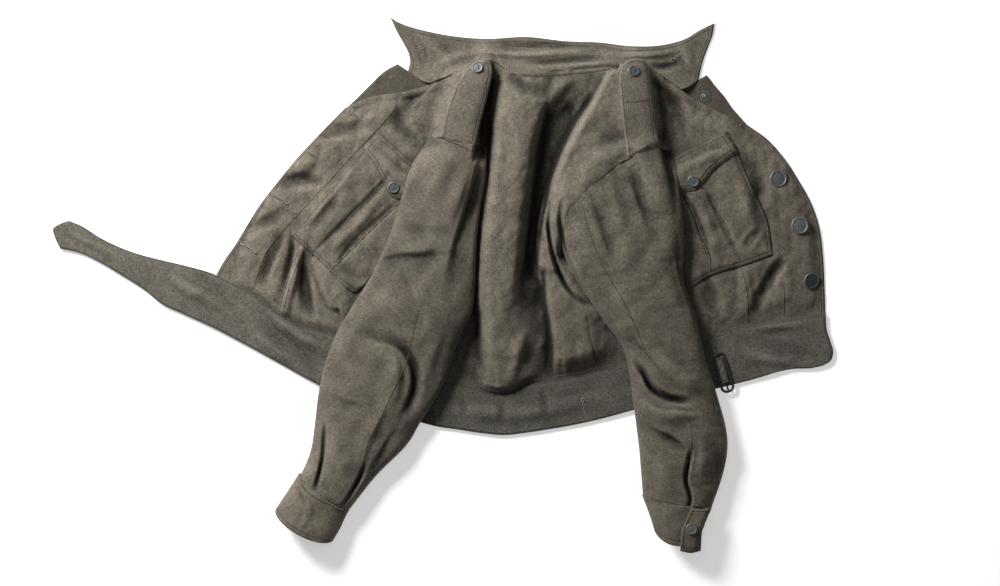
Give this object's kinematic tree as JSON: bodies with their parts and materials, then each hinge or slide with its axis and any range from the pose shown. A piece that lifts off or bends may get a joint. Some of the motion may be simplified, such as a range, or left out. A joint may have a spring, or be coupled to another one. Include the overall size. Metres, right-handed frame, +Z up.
{
  "type": "battledress jacket",
  "caption": "Short wool service jacket laid open on its inside, with spread collar, pleated patch pockets, sleeves over the body and a waistband running out into a belt strap.",
  "frame": {"origin": "centre of the bounding box, on the surface that the jacket lies on", "axes": "+Z up out of the surface, +Y from the hem towards the collar, +X towards the wearer's right side"},
  "size_m": [1.128, 0.7744, 0.051],
  "materials": {
    "serge": "napped wool serge",
    "serge_grey": "felted wool serge",
    "serge_dark": "matt wool facing",
    "pewter": "dull plated metal",
    "bronze": "dark worn bronze"
  },
  "bodies": {
    "garment": {"back": "serge", "front_left": "serge", "front_right": "serge", "waistband": "serge_grey", "lapel_left": "serge_dark", "lapel_right": "serge_dark", "collar": "serge", "pocket_left": "serge", "pocket_right": "serge", "pocket_flap_left": "serge", "pocket_flap_right": "serge", "shoulder_strap_left": "serge", "shoulder_strap_right": "serge", "button_front_1": "pewter", "button_front_2": "pewter", "button_front_3": "pewter", "button_strap_left": "pewter", "button_strap_right": "pewter", "button_pocket_left": "pewter", "button_pocket_right": "pewter", "button_cuff_right": "pewter", "snap_lapel_right": "pewter", "sleeve_left": "serge", "sleeve_right": "serge", "cuff_left": "serge", "cuff_right": "serge", "cuff_tab_right": "serge", "buckle_loop": "serge_grey"},
    "buckle": {"buckle": "bronze"}
  },
  "joints": [
    {"name": "buckle_rock", "type": "hinge", "parent": "garment", "child": "buckle", "pos_m": [0.40491, -0.12773, 0.0067], "axis": [0.2683, -0.9633, 0], "range_deg": [-9, 9]}
  ]
}
